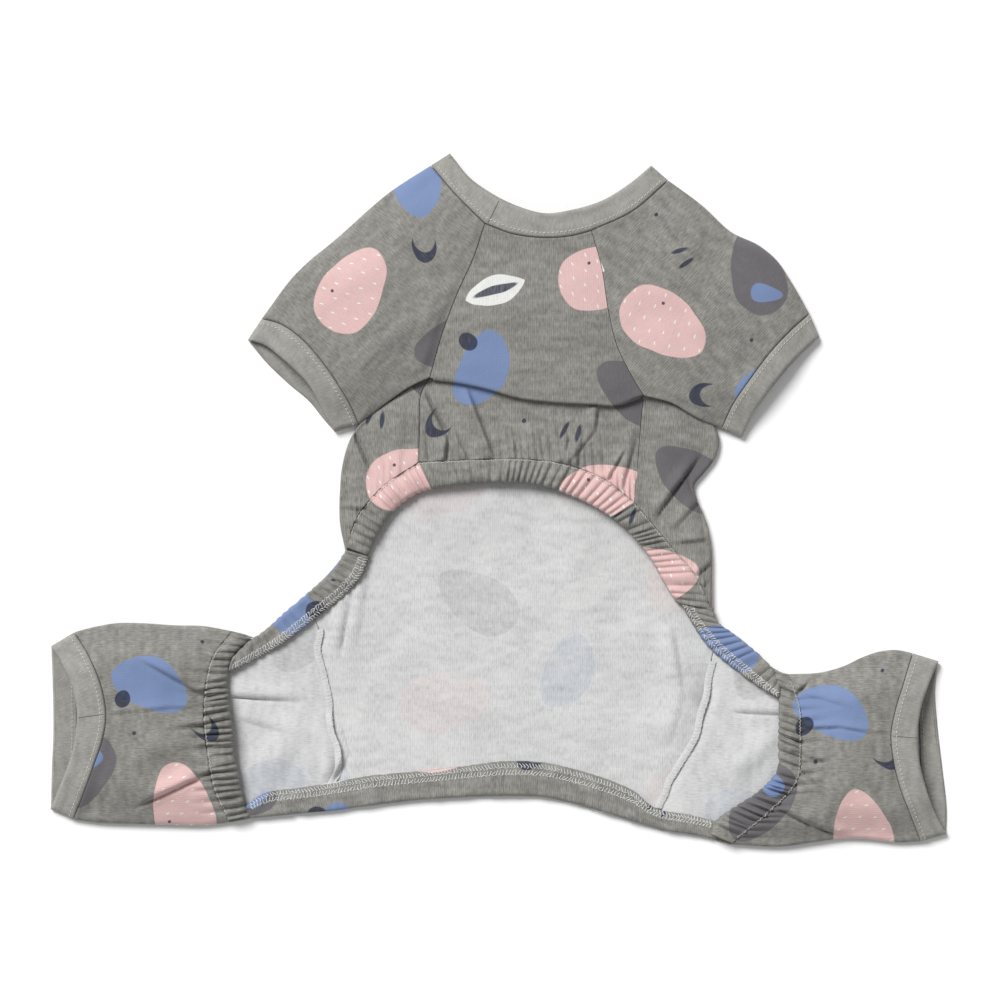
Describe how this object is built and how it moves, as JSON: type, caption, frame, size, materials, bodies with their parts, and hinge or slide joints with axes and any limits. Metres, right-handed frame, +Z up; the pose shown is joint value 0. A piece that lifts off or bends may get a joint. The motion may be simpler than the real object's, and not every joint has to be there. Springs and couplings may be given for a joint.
{
  "type": "dog jumpsuit",
  "caption": "Four-legged knitted pet jumpsuit lying flat, belly side up, with raglan sleeves, ribbed bindings, gathered leg mouths and an elastic belly opening.",
  "frame": {"origin": "bottom centre of the bounding box, on the surface that the jumpsuit lies on", "axes": "+X to the viewer's right across the two rear legs, +Y towards the neck, +Z up from the surface"},
  "size_m": [0.4466, 0.3456, 0.0161],
  "materials": {
    "printed_jersey": "heather grey cotton jersey with a printed pattern",
    "rib_binding": "heather grey rib knit",
    "elastic_casing": "gathered jersey over elastic"
  },
  "bodies": {
    "root": {"back_panel": "printed_jersey", "belly_casing": "elastic_casing", "belly_panel": "printed_jersey", "hip_casing_left": "elastic_casing", "hip_casing_right": "elastic_casing", "leg_binding_left": "rib_binding", "leg_binding_right": "rib_binding", "leg_casing_left": "elastic_casing", "leg_casing_right": "elastic_casing", "leg_left": "printed_jersey", "leg_right": "printed_jersey", "neck_binding": "rib_binding", "sleeve_binding_left": "rib_binding", "sleeve_binding_right": "rib_binding", "sleeve_left": "printed_jersey", "sleeve_right": "printed_jersey", "tail_casing": "elastic_casing"}
  },
  "joints": []
}
